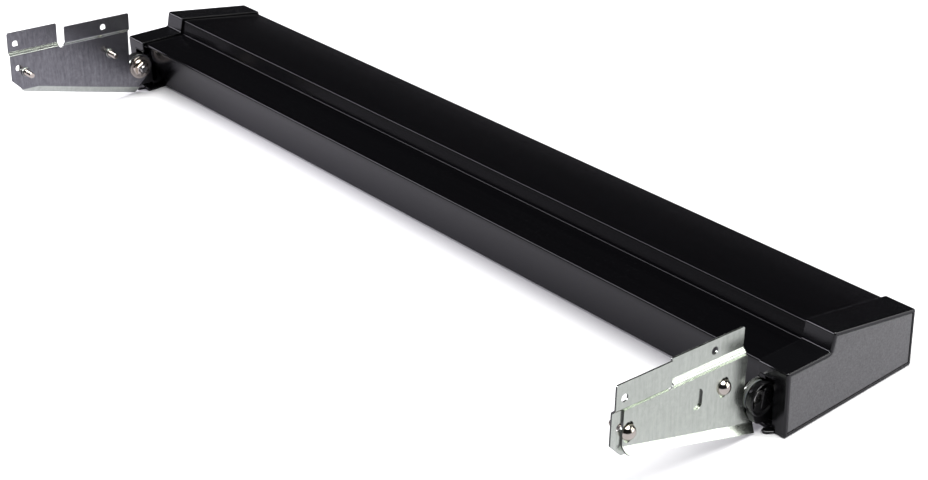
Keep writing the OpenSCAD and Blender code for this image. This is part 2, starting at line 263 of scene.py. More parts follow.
def threaded(bm, x_from, x_to, diameter, pitch, centre=(0, 0), steps=20):
    """Round shank with a helical thread and chamfered ends."""
    depth = 0.55 * pitch
    per_turn = 6
    count = max(2, round((x_to - x_from) / pitch * per_turn))
    rings = []
    for row in range(count + 1):
        x = x_from + (x_to - x_from) * row / count
        end = min(row, count - row)
        ring = []
        for step in range(steps):
            angle = 2 * math.pi * step / steps
            phase = (x / pitch - step / steps) % 1
            radius = diameter / 2 - depth * abs(2 * phase - 1)
            if end < per_turn:
                radius = min(radius, diameter / 2 - depth * (1 - end / per_turn))
            ring.append(around_x(x, centre, radius, angle))
        rings.append(ring)
    loft(bm, rings)


def bead(bm, path, radius, steps=8):
    """Round bead along a path of points."""
    rings = []
    for i, here in enumerate(path):
        run = (path[min(i + 1, len(path) - 1)] - path[max(i - 1, 0)]).normalized()
        side = run.cross(Vector((0, 0.6, 0.8))).normalized()
        up = run.cross(side)
        rings.append([here + radius * (math.cos(angle) * side + math.sin(angle) * up)
                      for angle in (2 * math.pi * step / steps for step in range(steps))])
    loft(bm, rings)


def cut_sheet(outline, holes, x):
    """Flat sheet in the plane at x, from an outline and its holes."""
    bm = bmesh.new()
    edges = []
    for loop in (outline, *holes):
        points = [bm.verts.new((x, point.x, point.y)) for point in loop]
        edges += [bm.edges.new((points[i - 1], points[i])) for i in range(len(points))]
    bmesh.ops.triangle_fill(bm, use_beauty=True, edges=edges, normal=(1, 0, 0))
    return bm


def score(bm, point, normal):
    """Cuts the sheet's mesh along a straight line, so that it can be bent there."""
    bmesh.ops.bisect_plane(bm, geom=bm.verts[:] + bm.edges[:] + bm.faces[:], dist=1e-4,
                           plane_co=(0, point.x, point.y), plane_no=(0, normal.x, normal.y))


def smooth_step(low, high, value):
    t = min(max((value - low) / (high - low), 0), 1)
    return t * t * (3 - 2 * t)


# ---- Pieces ----
def finish_piece(name, bm, side, body, material, replaced=(), bevel=0.0, smooth=32, bevel_steps=2):
    """Turns a millimetre mesh of the right end into a piece of either end, riding on its body."""
    if SIDES[side] < 0:
        bmesh.ops.scale(bm, vec=(-1, 1, 1), verts=bm.verts)
    bmesh.ops.scale(bm, vec=(MM, MM, MM), verts=bm.verts)
    bmesh.ops.recalc_face_normals(bm, faces=bm.faces)
    mesh = bpy.data.meshes.new(name)
    bm.to_mesh(mesh)
    bm.free()
    mesh.shade_smooth()
    mesh.set_sharp_from_angle(angle=math.radians(smooth))
    mesh.materials.append(material[0])
    piece = bpy.data.objects.new(name, mesh)
    bpy.context.scene.collection.objects.link(piece)
    if bevel:
        add_bevel(piece, bevel, bevel_steps)
    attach(piece, body)
    if replaced:
        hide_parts(*replaced)
    return piece


def add_bevel(piece, width, steps=2, angle=35):
    """Small rounded edges, and normals that keep the flats flat."""
    bevel = piece.modifiers.new("edges", "BEVEL")
    bevel.width, bevel.segments = width * MM, steps
    bevel.limit_method, bevel.angle_limit = "ANGLE", math.radians(angle)
    bevel.harden_normals = False
    bevel.miter_outer = "MITER_ARC"
    weigh = piece.modifiers.new("flats", "WEIGHTED_NORMAL")
    weigh.keep_sharp, weigh.weight = True, 90


def add_thickness(piece):
    """Gives a sheet its thickness, half to each side."""
    thickness = piece.modifiers.new("thickness", "SOLIDIFY")
    thickness.thickness, thickness.offset = SHEET * MM, 0
    thickness.use_even_offset = True


def place_on_bracket(bm, side, lift=0.0):
    """Moves a mesh from the pivot's own frame to the bracket's tilt and height at rest."""
    turn = Matrix.Rotation(-TILT[side], 4, "X")
    raise_ = Matrix.Translation((0, 0, lift))
    bm.transform(Matrix.Translation((0, PIVOT.y, PIVOT.z)) @ turn @ raise_)


def cutter(name, bm, side):
    """Hidden-away solid that a boolean cuts with; it is used up before the script ends."""
    if SIDES[side] < 0:
        bmesh.ops.scale(bm, vec=(-1, 1, 1), verts=bm.verts)
    bmesh.ops.scale(bm, vec=(MM, MM, MM), verts=bm.verts)
    bmesh.ops.recalc_face_normals(bm, faces=bm.faces)
    mesh = bpy.data.meshes.new(name)
    bm.to_mesh(mesh)
    bm.free()
    return bpy.data.objects.new(name, mesh)


def cut_away(bm, shapes):
    """Takes solids out of a mesh and returns the result as a mesh."""
    whole = cutter("whole", bm, "right")
    bpy.context.scene.collection.objects.link(whole)
    for shape in shapes:
        bpy.context.scene.collection.objects.link(shape)
        cut = whole.modifiers.new("cut", "BOOLEAN")
        cut.operation, cut.object, cut.solver = "DIFFERENCE", shape, "EXACT"
    bpy.context.view_layer.update()
    result = bmesh.new()
    result.from_object(whole, bpy.context.evaluated_depsgraph_get())
    bmesh.ops.scale(result, vec=(1 / MM, 1 / MM, 1 / MM), verts=result.verts)
    for used in (whole, *shapes):
        bpy.data.objects.remove(used, do_unlink=True)
    return result


# ---- Shader groups ----
def new_group(name, inputs, outputs):
    """Empty shader group; inputs and outputs are (name, socket kind, default) rows."""
    group = bpy.data.node_groups.new(name, "ShaderNodeTree")
    for in_out, rows in (("INPUT", inputs), ("OUTPUT", outputs)):
        for label, kind, default in rows:
            socket = group.interface.new_socket(label, in_out=in_out, socket_type=f"NodeSocket{kind}")
            if default is not None:
                socket.default_value = default
    return group, group.nodes.new("NodeGroupInput"), group.nodes.new("NodeGroupOutput")


def node(tree, kind, links=(), **settings):
    """Adds a node, sets its properties and links its inputs, given as (input, source socket) pairs."""
    made = tree.nodes.new(f"ShaderNode{kind}")
    for key, value in settings.items():
        setattr(made, key, value)
    for target, source in links:
        socket = made.inputs[target]
        if isinstance(source, bpy.types.NodeSocket):
            tree.links.new(source, socket)
        else:
            socket.default_value = source
    return made


def ramp(tree, source, low, high, out_low=0.0, out_high=1.0):
    """Maps a value from one range to another, clamped."""
    return node(tree, "MapRange", [("Value", source), ("From Min", low), ("From Max", high),
                                   ("To Min", out_low), ("To Max", out_high)]).outputs[0]


def make_streaks():
    """Fine lines along one direction: a noise stretched by the Stretch vector."""
    group, into, out = new_group("Streaks", [("Stretch", "Vector", (1, 1, 1)), ("Detail", "Float", 4.0)],
                                 [("Height", "Float", None)])
    place = node(group, "TexCoord").outputs["Object"]
    scaled = node(group, "VectorMath", [(0, place), (1, into.outputs["Stretch"])], operation="MULTIPLY")
    noise = node(group, "TexNoise", [("Vector", scaled.outputs[0]), ("Scale", 1.0),
                                     ("Detail", into.outputs["Detail"]), ("Roughness", 0.65)])
    group.links.new(noise.outputs[0], out.inputs["Height"])
    return group


def make_grain():
    """Even fine grain of a spark-eroded or cast surface."""
    group, into, out = new_group("Grain", [("Scale", "Float", 900.0)],
                                 [("Height", "Float", None), ("Patches", "Float", None)])
    place = node(group, "TexCoord").outputs["Object"]
    fine = node(group, "TexNoise", [("Vector", place), ("Scale", into.outputs["Scale"]),
                                    ("Detail", 2.0), ("Roughness", 0.6)])
    broad = node(group, "TexNoise", [("Vector", place), ("Scale", 22.0), ("Detail", 3.0)])
    group.links.new(fine.outputs[0], out.inputs["Height"])
    group.links.new(broad.outputs[0], out.inputs["Patches"])
    return group


def make_edge_wear():
    """Mask of worn edges, broken up by noise."""
    group, into, out = new_group("Edge wear", [("Width", "Float", 0.0008), ("Amount", "Float", 1.0)],
                                 [("Mask", "Float", None)])
    soft = node(group, "Bevel", [("Radius", into.outputs["Width"])], samples=4)
    true = node(group, "NewGeometry")
    match = node(group, "VectorMath", [(0, soft.outputs[0]), (1, true.outputs["Normal"])],
                 operation="DOT_PRODUCT")
    edge = ramp(group, match.outputs["Value"], 0.99, 0.85)
    place = node(group, "TexCoord").outputs["Object"]
    noise = node(group, "TexNoise", [("Vector", place), ("Scale", 160.0), ("Detail", 4.0)])
    broken = node(group, "Math", [(0, edge), (1, ramp(group, noise.outputs[0], 0.35, 0.6))],
                  operation="MULTIPLY")
    level = node(group, "Math", [(0, broken.outputs[0]), (1, into.outputs["Amount"])],
                 operation="MULTIPLY", use_clamp=True)
    group.links.new(level.outputs[0], out.inputs["Mask"])
    return group


def make_dust():
    """Mask of thin dust that settles on faces turned upwards."""
    group, into, out = new_group("Dust", [("Amount", "Float", 0.3)], [("Mask", "Float", None)])
    facing = node(group, "SeparateXYZ", [(0, node(group, "NewGeometry").outputs["Normal"])])
    place = node(group, "TexCoord").outputs["Object"]
    specks = node(group, "TexNoise", [("Vector", place), ("Scale", 420.0), ("Detail", 3.0)])
    clouds = node(group, "TexNoise", [("Vector", place), ("Scale", 14.0), ("Detail", 2.0)])
    spots = node(group, "Math", [(0, ramp(group, specks.outputs[0], 0.58, 0.72)),
                                 (1, ramp(group, clouds.outputs[0], 0.4, 0.65, 0.2, 1.0))],
                 operation="MULTIPLY")
    upward = node(group, "Math", [(0, spots.outputs[0]), (1, ramp(group, facing.outputs["Z"], 0.3, 0.9))],
                  operation="MULTIPLY")
    level = node(group, "Math", [(0, upward.outputs[0]), (1, into.outputs["Amount"])],
                 operation="MULTIPLY", use_clamp=True)
    group.links.new(level.outputs[0], out.inputs["Mask"])
    return group


streaks_group, grain_group = make_streaks(), make_grain()
wear_group, dust_group = make_edge_wear(), make_dust()


# ---- Finishes ----
def new_finish(name, slot_name, **uniform):
    """Material with a Principled shader whose even values are set on its own sockets."""
    material = bpy.data.materials.new(name)
    material.use_nodes = True
    tree = material.node_tree
    shader = tree.nodes["Principled BSDF"]
    for label, value in uniform.items():
        shader.inputs[label.replace("_", " ")].default_value = value
    return (material, slot_name), tree, shader


def place_group(tree, group, **values):
    made = tree.nodes.new("ShaderNodeGroup")
    made.node_tree = group
    for label, value in values.items():
        made.inputs[label].default_value = value
    return made


def blend_colour(tree, mask, low, high):
    """Colour that goes from low to high with a mask."""
    mixed = node(tree, "Mix", data_type="RGBA")
    tree.links.new(mask, mixed.inputs["Factor"])
    for socket, value in ((mixed.inputs[6], low), (mixed.inputs[7], high)):
        if isinstance(value, bpy.types.NodeSocket):
            tree.links.new(value, socket)
        else:
            socket.default_value = (*value, 1)
    return mixed.outputs[2]


def bump(tree, shader, height, strength, distance):
    made = node(tree, "Bump", [("Height", height), ("Strength", strength), ("Distance", distance)])
    tree.links.new(made.outputs[0], shader.inputs["Normal"])


def black_anodised():
    """Satin black rail with long drawing lines."""
    finish, tree, shader = new_finish("Black anodised rail", "black_anodised",
                                      Metallic=0.0, Specular_IOR_Level=0.26)
    lines = place_group(tree, streaks_group, Stretch=(3, 900, 900), Detail=5.0)
    dust = place_group(tree, dust_group, Amount=0.05)
    height = lines.outputs["Height"]
    base = blend_colour(tree, height, (0.0012, 0.0012, 0.0015), (0.0026, 0.0025, 0.003))
    colour = blend_colour(tree, dust.outputs["Mask"], base, (0.05, 0.05, 0.055))
    tree.links.new(colour, shader.inputs["Base Color"])
    tree.links.new(ramp(tree, height, 0.3, 0.7, 0.13, 0.2), shader.inputs["Roughness"])
    bump(tree, shader, height, 0.06, 0.0001)
    return finish


def black_moulding():
    """Smooth black moulded plastic, worn a little at its edges."""
    finish, tree, shader = new_finish("Black moulding", "black_moulding", Metallic=0.0)
    grain = place_group(tree, grain_group, Scale=700.0)
    wear = place_group(tree, wear_group, Width=0.0008, Amount=0.5)
    base = blend_colour(tree, grain.outputs["Patches"], (0.0022, 0.0022, 0.0026), (0.0036, 0.0036, 0.0042))
    colour = blend_colour(tree, wear.outputs["Mask"], base, (0.02, 0.02, 0.022))
    tree.links.new(colour, shader.inputs["Base Color"])
    tree.links.new(ramp(tree, grain.outputs["Patches"], 0.3, 0.7, 0.14, 0.2), shader.inputs["Roughness"])
    bump(tree, shader, grain.outputs["Height"], 0.05, 0.0001)
    return finish


def textured_inlay():
    """Grey-black fine texture of the end panel."""
    finish, tree, shader = new_finish("Textured inlay", "textured_inlay", Metallic=0.0)
    grain = place_group(tree, grain_group, Scale=750.0)
    base = blend_colour(tree, grain.outputs["Height"], (0.055, 0.055, 0.056), (0.23, 0.23, 0.234))
    tree.links.new(base, shader.inputs["Base Color"])
    tree.links.new(ramp(tree, grain.outputs["Patches"], 0.3, 0.7, 0.36, 0.44), shader.inputs["Roughness"])
    bump(tree, shader, grain.outputs["Height"], 0.35, 0.0003)
    return finish


def black_lug():
    """Semi-gloss black of the hinge lug."""
    finish, tree, shader = new_finish("Black lug", "black_lug", Metallic=0.0)
    grain = place_group(tree, grain_group, Scale=900.0)
    wear = place_group(tree, wear_group, Width=0.0006, Amount=0.6)
    base = blend_colour(tree, grain.outputs["Patches"], (0.003, 0.003, 0.0034), (0.006, 0.0058, 0.006))
    colour = blend_colour(tree, wear.outputs["Mask"], base, (0.03, 0.03, 0.032))
    tree.links.new(colour, shader.inputs["Base Color"])
    tree.links.new(ramp(tree, grain.outputs["Patches"], 0.3, 0.7, 0.24, 0.36), shader.inputs["Roughness"])
    bump(tree, shader, grain.outputs["Height"], 0.12, 0.0002)
    return finish


def galvanised_steel():
    """Zinc coated sheet: soft rolling streaks, faint spangle; painted shade on faces turned inboard and on
    edge walls that do not face up; edge wear painted as a bright highlight where it faces up.
    """
    finish, tree, shader = new_finish("Galvanised steel", "galvanised_steel", Metallic=1.0)
    upright = place_group(tree, streaks_group, Stretch=(180, 420, 40), Detail=5.0)
    mottle = place_group(tree, streaks_group, Stretch=(220, 260, 200), Detail=6.0)
    wear = place_group(tree, wear_group, Width=0.0004, Amount=0.9)
    mask = node(tree, "Math", [(0, upright.outputs["Height"]), (1, mottle.outputs["Height"])],
                operation="ADD").outputs[0]
    spread = ramp(tree, mask, 0.75, 1.25)
    outer = blend_colour(tree, spread, (0.62, 0.67, 0.59), (0.76, 0.81, 0.72))
    # Painted shade: faces turned inboard get this darker zinc, which stands in for the dark rail and
    # shaded floor that they reflect.
    inner = blend_colour(tree, spread, (0.20, 0.20, 0.215), (0.31, 0.31, 0.325))
    geometry = node(tree, "NewGeometry")
    facing = node(tree, "SeparateXYZ", [(0, geometry.outputs["True Normal"])])
    across = facing.outputs["X"]
    along_rail = node(tree, "SeparateXYZ", [(0, geometry.outputs["Position"])]).outputs["X"]
    end = node(tree, "Math", [(0, along_rail)], operation="SIGN").outputs[0]
    outboard = node(tree, "Math", [(0, across), (1, end)], operation="MULTIPLY").outputs[0]
    # Faces turned inboard take the painted shade colour.
    base = blend_colour(tree, ramp(tree, outboard, -0.9, -0.985), outer, inner)
    edgewise = ramp(tree, node(tree, "Math", [(0, across)], operation="ABSOLUTE").outputs[0], 0.6, 0.4)
    upward = ramp(tree, facing.outputs["Z"], 0.25, 0.5)
    # Painted shade: edge and slot walls that do not face up are painted dark, which stands in for the
    # shadow in the gaps between the sheets.
    painted_shade_walls = node(tree, "Math", [(0, edgewise), (1, upward)],
                   operation="SUBTRACT", use_clamp=True).outputs[0]
    # Edge wear kept only where it faces up and painted near white: partly real wear, partly a painted
    # highlight of the lit upper edges and slot bottoms.
    wear_and_highlight = node(tree, "Math", [(0, wear.outputs["Mask"]), (1, upward)], operation="MULTIPLY").outputs[0]
    bright = blend_colour(tree, wear_and_highlight, base, (0.92, 0.93, 0.91))
    colour = blend_colour(tree, painted_shade_walls, bright, (0.12, 0.12, 0.12))
    tree.links.new(colour, shader.inputs["Base Color"])
    tree.links.new(ramp(tree, wear_and_highlight, 0.0, 1.0, 1.0, 0.25), shader.inputs["Metallic"])
    rough = node(tree, "Math", [(0, ramp(tree, spread, 0.0, 1.0, 0.27, 0.19)),
                                (1, ramp(tree, wear_and_highlight, 0.0, 1.0, 0.0, 0.4))], operation="ADD").outputs[0]
    tree.links.new(rough, shader.inputs["Roughness"])
    bump(tree, shader, mask, 0.08, 0.0002)
    return finish


def nickel_plate():
    """Bright, slightly warm nickel."""
    finish, tree, shader = new_finish("Nickel plate", "nickel_plate", Metallic=1.0)
    clouds = place_group(tree, streaks_group, Stretch=(300, 300, 300), Detail=3.0)
    base = blend_colour(tree, clouds.outputs["Height"], (0.56, 0.50, 0.43), (0.74, 0.69, 0.62))
    tree.links.new(base, shader.inputs["Base Color"])
    tree.links.new(ramp(tree, clouds.outputs["Height"], 0.3, 0.7, 0.06, 0.14), shader.inputs["Roughness"])
    bump(tree, shader, clouds.outputs["Height"], 0.02, 0.0002)
    return finish


def bright_steel():
    """Turned steel with fine rings of machining."""
    finish, tree, shader = new_finish("Bright steel", "bright_steel", Metallic=1.0)
    rings = place_group(tree, streaks_group, Stretch=(2500, 200, 200), Detail=3.0)
    base = blend_colour(tree, rings.outputs["Height"], (0.50, 0.49, 0.46), (0.72, 0.71, 0.68))
    tree.links.new(base, shader.inputs["Base Color"])
    tree.links.new(ramp(tree, rings.outputs["Height"], 0.3, 0.7, 0.18, 0.3), shader.inputs["Roughness"])
    bump(tree, shader, rings.outputs["Height"], 0.05, 0.0001)
    return finish


def zinc_screw():
    """Zinc plated small screws."""
    finish, tree, shader = new_finish("Zinc screw", "zinc_screw", Metallic=1.0)
    grain = place_group(tree, grain_group, Scale=1500.0)
    base = blend_colour(tree, grain.outputs["Height"], (0.42, 0.43, 0.44), (0.62, 0.63, 0.63))
    tree.links.new(base, shader.inputs["Base Color"])
    tree.links.new(ramp(tree, grain.outputs["Height"], 0.3, 0.7, 0.25, 0.4), shader.inputs["Roughness"])
    return finish


def nylon():
    """Grey friction washer."""
    finish, tree, shader = new_finish("Nylon", "nylon", Metallic=0.0, Subsurface_Weight=0.1)
    grain = place_group(tree, grain_group, Scale=600.0)
    base = blend_colour(tree, grain.outputs["Patches"], (0.16, 0.16, 0.16), (0.24, 0.24, 0.24))
    tree.links.new(base, shader.inputs["Base Color"])
    tree.links.new(ramp(tree, grain.outputs["Height"], 0.3, 0.7, 0.4, 0.55), shader.inputs["Roughness"])
    return finish


RAIL_BLACK, CAP_BLACK, INLAY, LUG_BLACK = black_anodised(), black_moulding(), textured_inlay(), black_lug()
ZINC_SHEET, NICKEL, BRIGHT_STEEL = galvanised_steel(), nickel_plate(), bright_steel()
SCREW_ZINC, NYLON = zinc_screw(), nylon()


# ---- Rail ----
def build_rail():
    """Hollow stepped profile with its front corners cut back for the lugs."""
    bm = bmesh.new()
    skin = CAP_WALL + CAP_FIT
    outer = section(LEAN_CORNERS, skin, RAIL_ROUNDS, skin)
    inner = section(LEAN_CORNERS, skin + RAIL_WALL, RAIL_ROUNDS, skin)
    rings = [along_x(outer, -RAIL_END_X), along_x(outer, RAIL_END_X),
             along_x(inner, RAIL_END_X), along_x(inner, -RAIL_END_X), along_x(outer, -RAIL_END_X)]
    loft(bm, rings, False, False)
    bmesh.ops.remove_doubles(bm, verts=bm.verts, dist=1e-5)
    shapes = []
    for side in SIDES:
        pocket = bmesh.new()
        cut = corners((-PAST, -PAST), (POCKET_DEPTH, -PAST), (POCKET_DEPTH, WINDOW_TOP),
                      (-PAST, WINDOW_TOP))
        extrude_x(pocket, cut, SLEEVE_X, RAIL_END_X + PAST)
        shapes.append(cutter("pocket", pocket, side))
    bm = cut_away(bm, shapes)
    return finish_piece("rail", bm, "right", "rail", RAIL_BLACK, ("rail_profile",), smooth=25)


# ---- End caps ----
def build_end_cap(side):
    """Sleeve, end wall and raised rim in one moulding, with its front window and floor tongue."""
    wall_x = PANEL_X0 - END_WALL
    edge, rim_round, groove_round = 0.5, 1.5, 0.6
    rings = [(wall_x, CAP_WALL), (SLEEVE_X + edge, CAP_WALL), (SLEEVE_X + 0.1, CAP_WALL - 0.25),
             (SLEEVE_X, CAP_WALL - 0.6)]
    rings += [(SLEEVE_X + edge * (1 - math.cos(a)), edge * (1 - math.sin(a)))
              for a in (0, math.pi / 8, math.pi / 4, 3 * math.pi / 8, math.pi / 2)]
    rings += [(CAP_X - rim_round * (1 - math.sin(a)), rim_round * (1 - math.cos(a)))
              for a in (math.pi / 2 * step / 6 for step in range(7))]
    rings += [(CAP_X - groove_round * (1 - math.cos(a)), RIM - groove_round * (1 - math.sin(a)))
              for a in (math.pi / 2 * step / 4 for step in range(5))]
    rings += [(PANEL_X0, RIM)]
    bm = bmesh.new()
    loft(bm, [along_x(section(CAP_CORNERS, distance, CAP_ROUNDS), x) for x, distance in rings])
    window = bmesh.new()
    hole = rounded(corners((SLEEVE_X - PAST, WINDOW_SILL), (SLEEVE_X + WINDOW_WIDTH, WINDOW_SILL),
                           (SLEEVE_X + WINDOW_WIDTH, WINDOW_TOP), (SLEEVE_X - PAST, WINDOW_TOP)),
                   (0.5, 2.0, 2.0, 0.5))
    loft(window, [[Vector((p.x, y, p.y)) for p in hole] for y in (-PAST, CAP_WALL + 1)])
    bm = cut_away(bm, [cutter("window", window, "right")])
    finish_piece(f"{side}_cap", bm, side, "rail", CAP_BLACK, (f"{side}_end_cap",), bevel=0.3, smooth=30)

    bm = bmesh.new()
    outline = rounded(corners((TONGUE_X, 1.5), (TONGUE_X + 1, -TONGUE_REACH),
                              (TONGUE_X + 5, -TONGUE_REACH + 1.5), (TONGUE_X + TONGUE_WIDTH, 1.5)),
                      (0.5, 2.5, 4, 0.5))
    loft(bm, [[Vector((p.x, p.y, z)) for p in outline] for z in (0.05, CAP_WALL)])
    finish_piece(f"{side}_cap_tongue", bm, side, "rail", CAP_BLACK, bevel=0.6, bevel_steps=3)


def build_window_rim(side):
    """Thin moulded bead round the window's top and inboard edges, and along the tongue's front."""
    right_x, left_x = SLEEVE_X + WINDOW_WIDTH, SLEEVE_X + 0.7
    turn = 3.0
    window_edge = [Vector((right_x, 0, WINDOW_TOP)), Vector((left_x + turn, 0, WINDOW_TOP))]
    for step in range(1, 7):
        angle = math.pi / 2 * step / 6
        window_edge.append(Vector((left_x + turn * (1 - math.sin(angle)), 0,
                                   WINDOW_TOP - turn * (1 - math.cos(angle)))))
    window_edge.append(Vector((left_x, 0, 36)))
    tongue_edge = [Vector((TONGUE_X + across, y, CAP_WALL)) for across, y in (
        (0.4, -1.5), (1.2, -TONGUE_REACH + 1.2), (2.2, -TONGUE_REACH + 0.8),
        (5, -TONGUE_REACH + 2), (8.4, -0.6))]
    bm = bmesh.new()
    for path in (window_edge, tongue_edge):
        bead(bm, path, 0.5)
    finish_piece(f"{side}_cap_beads", bm, side, "rail", CAP_BLACK)


def build_end_panel(side):
    """Inlay inside the rim, with a soft edge that leaves a thin groove."""
    bm = bmesh.new()
    groove, edge_round = 0.5, 0.7
    rings = [(PANEL_X0, RIM + groove), (PANEL_X1 - edge_round, RIM + groove)]
    rings += [(PANEL_X1 - edge_round * (1 - math.sin(a)), RIM + groove + edge_round * (1 - math.cos(a)))
              for a in (math.pi / 2 * step / 4 for step in range(1, 5))]
    loft(bm, [along_x(section(CAP_CORNERS, distance, CAP_ROUNDS), x) for x, distance in rings])
    finish_piece(f"{side}_panel", bm, side, "rail", INLAY, (f"{side}_end_panel",))


# ---- Hinge lug and pivot ----
def build_lug(side):
    """Funnel-shaped lug on a leg, with a neck that runs back into the cap."""
    centre = (PIVOT.y, PIVOT.z)
    root, bore = WASHER_DIAMETER / 2, 4.2
    outer_x, inner_x = LUG_X + LUG_DEPTH, LUG_X + 0.05
    bm = bmesh.new()
    profile = [(LUG_X, bore), (LUG_X, root), (outer_x - 1.2, LUG_RIM), (outer_x, LUG_RIM),
               (outer_x, LUG_RIM - 1.3), (outer_x - 2.2, LUG_RIM - 3.2), (outer_x - 5.2, 7.6),
               (outer_x - LUG_DISH, 6.9), (outer_x - LUG_DISH, bore)]
    turned(bm, rounded_rows(profile, 0.8, closed=True), centre, 64, closed=True)
    y, z = centre
    foot_front, foot_rear, foot_top, foot_width = 9, 34, 6, 15
    neck = rounded(corners((y - 2, z - 8), (foot_rear, z - 8), (foot_rear, z + 8), (y + 1, z + 8)),
                   (1, 1, 1, 3))
    extrude_x(bm, neck, inner_x, outer_x - 1)
    leg = rounded(corners((y - 8, z - 2), (y - 11, z - 9), (y - 6.5, z - 19.5), (y + 2, z - 21.5),
                          (15.5, z - 21.5), (15.5, z - 2)), (1, 6, 5, 6, 1, 1))
    extrude_x(bm, leg, inner_x, outer_x - 1.5)
    for top, end_x in ((z, outer_x - 0.2), (foot_top, LUG_X + foot_width)):
        foot = rounded(corners((foot_front, CAP_WALL), (foot_rear, CAP_WALL), (foot_rear, top),
                               (foot_front, top)), (0.5,) * 4)
        extrude_x(bm, foot, inner_x, end_x)
    finish_piece(f"{side}_lug", bm, side, "rail", LUG_BLACK, (f"{side}_hinge_lug",),
                 bevel=0.5, bevel_steps=3)


def build_pivot(side):
    """Cap screw with a hexagon socket, washer and flanged nut."""
    centre = (PIVOT.y, PIVOT.z)
    head_x = LUG_X + LUG_DEPTH - LUG_DISH
    bm = bmesh.new()
    head = rounded_rows([(head_x, 3.9), (head_x, PIVOT_HEAD_RADIUS), (BOLT_HEAD_X, PIVOT_HEAD_RADIUS),
                         (BOLT_HEAD_X, 3.4)], 0.6)
    socket = [(BOLT_HEAD_X - depth, SOCKET_RADIUS, 6) for depth in (0.3, 1.6)]
    turned(bm, [*head, *socket], centre)
    threaded(bm, BOLT_TIP_X, head_x + 0.5, PIVOT_DIAMETER - 0.1, PIVOT_PITCH, centre, 32)
    finish_piece(f"{side}_pivot_screw", bm, side, "rail", BRIGHT_STEEL, (f"{side}_pivot_bolt",))

    bm = bmesh.new()
    bore = PIVOT_DIAMETER / 2 + 0.05
    washer = [(WASHER_X0, bore), (WASHER_X0, WASHER_DIAMETER / 2),
              (WASHER_X1, WASHER_DIAMETER / 2), (WASHER_X1, bore)]
    turned(bm, rounded_rows(washer, 0.35, closed=True), centre, 64, closed=True)
    finish_piece(f"{side}_washer", bm, side, "rail", NICKEL, (f"{side}_pivot_washer",))

    bm = bmesh.new()
    corner = NUT_WIDTH / 2 / math.cos(math.pi / 6)
    rows = [(WASHER_X0, bore), (WASHER_X0, NUT_FLANGE / 2 - 0.2), (WASHER_X0 - 0.5, NUT_FLANGE / 2),
            (WASHER_X0 - 1.2, NUT_FLANGE / 2 - 0.4), (WASHER_X0 - 1.9, corner + 0.3),
            (WASHER_X0 - 1.95, corner, 6), (NUT_X0 + 1.1, corner, 6),
            (NUT_X0 + 0.3, corner - 0.7, 6), (NUT_X0, corner - 1.6),
            (NUT_X0, bore + 0.5), (NUT_X0 + 0.5, bore)]
    turned(bm, rows, centre, 48, closed=True)
    finish_piece(f"{side}_nut", bm, side, "rail", NICKEL, (f"{side}_pivot_nut",), smooth=28)


# ---- Arm ----
LIP_DOWN = Vector((-math.sin(LIP_SLOPE), -math.cos(LIP_SLOPE)))
CREASE_FOOT, CREASE_HEAD = Vector((-56, -9.5)), Vector((-9, 3.5))
CREASE_RUN = (CREASE_HEAD - CREASE_FOOT).normalized()
CREASE_DOWN = Vector((CREASE_RUN.y, -CREASE_RUN.x))
CREASE_SPREAD, CREASE_TILT, CREASE_LIMIT, EAR_SWELL = 9.0, 0.08, 0.7, 2.5

# Distances at which the sheets are scored, so that they bend smoothly
LIP_SCORES = (-2.5, -0.8, 0, 0.25, 0.5, 0.8, 1.1, 1.4, 1.7, 2.4, 5)
CREASE_SCORES = (-2, 0, 1.5, 3, 4.5, 6, 7.5, 9, 12, 15, 18, 22)
EAR_SCORES = (-40, -30, -25, -22, -19, -16, -13, -8, -4)
JOGGLE_SCORES = (-0.6, -0.2, 0, 0.15, 0.3, 0.45, 0.6, 0.75, 0.9, 1, 1.2, 1.7)


def bend_arm(bm):
    """Turns the lip out along the fold, and bows the rear corner out below the diagonal crease."""
    for vert in bm.verts:
        place = Vector((vert.co.y, vert.co.z))
        out = 0.0
        below = (place - LIP_FRONT).dot(LIP_DOWN)
        crease = (place - CREASE_FOOT).dot(CREASE_DOWN)
        if crease > 0:
            swell = CREASE_TILT * (crease * crease / (2 * CREASE_SPREAD) if crease < CREASE_SPREAD
                                   else crease - CREASE_SPREAD / 2)
            near = smooth_step(14.5, 24, place.length)
            limit = CREASE_LIMIT + EAR_SWELL * near
            out += limit * (1 - math.exp(-swell / limit)) * smooth_step(13, 17, place.length)
        if below > 0:
            bent = LIP_BEND_RADIUS * LIP_ANGLE
            angle = min(below / LIP_BEND_RADIUS, LIP_ANGLE)
            rest = max(below - bent, 0)
            out += LIP_BEND_RADIUS * (1 - math.cos(angle)) + rest * math.sin(LIP_ANGLE)
            drop = LIP_BEND_RADIUS * math.sin(angle) + rest * math.cos(LIP_ANGLE)
            place = place + LIP_DOWN * (drop - below)
        vert.co = (vert.co.x + out, place.x, place.y)


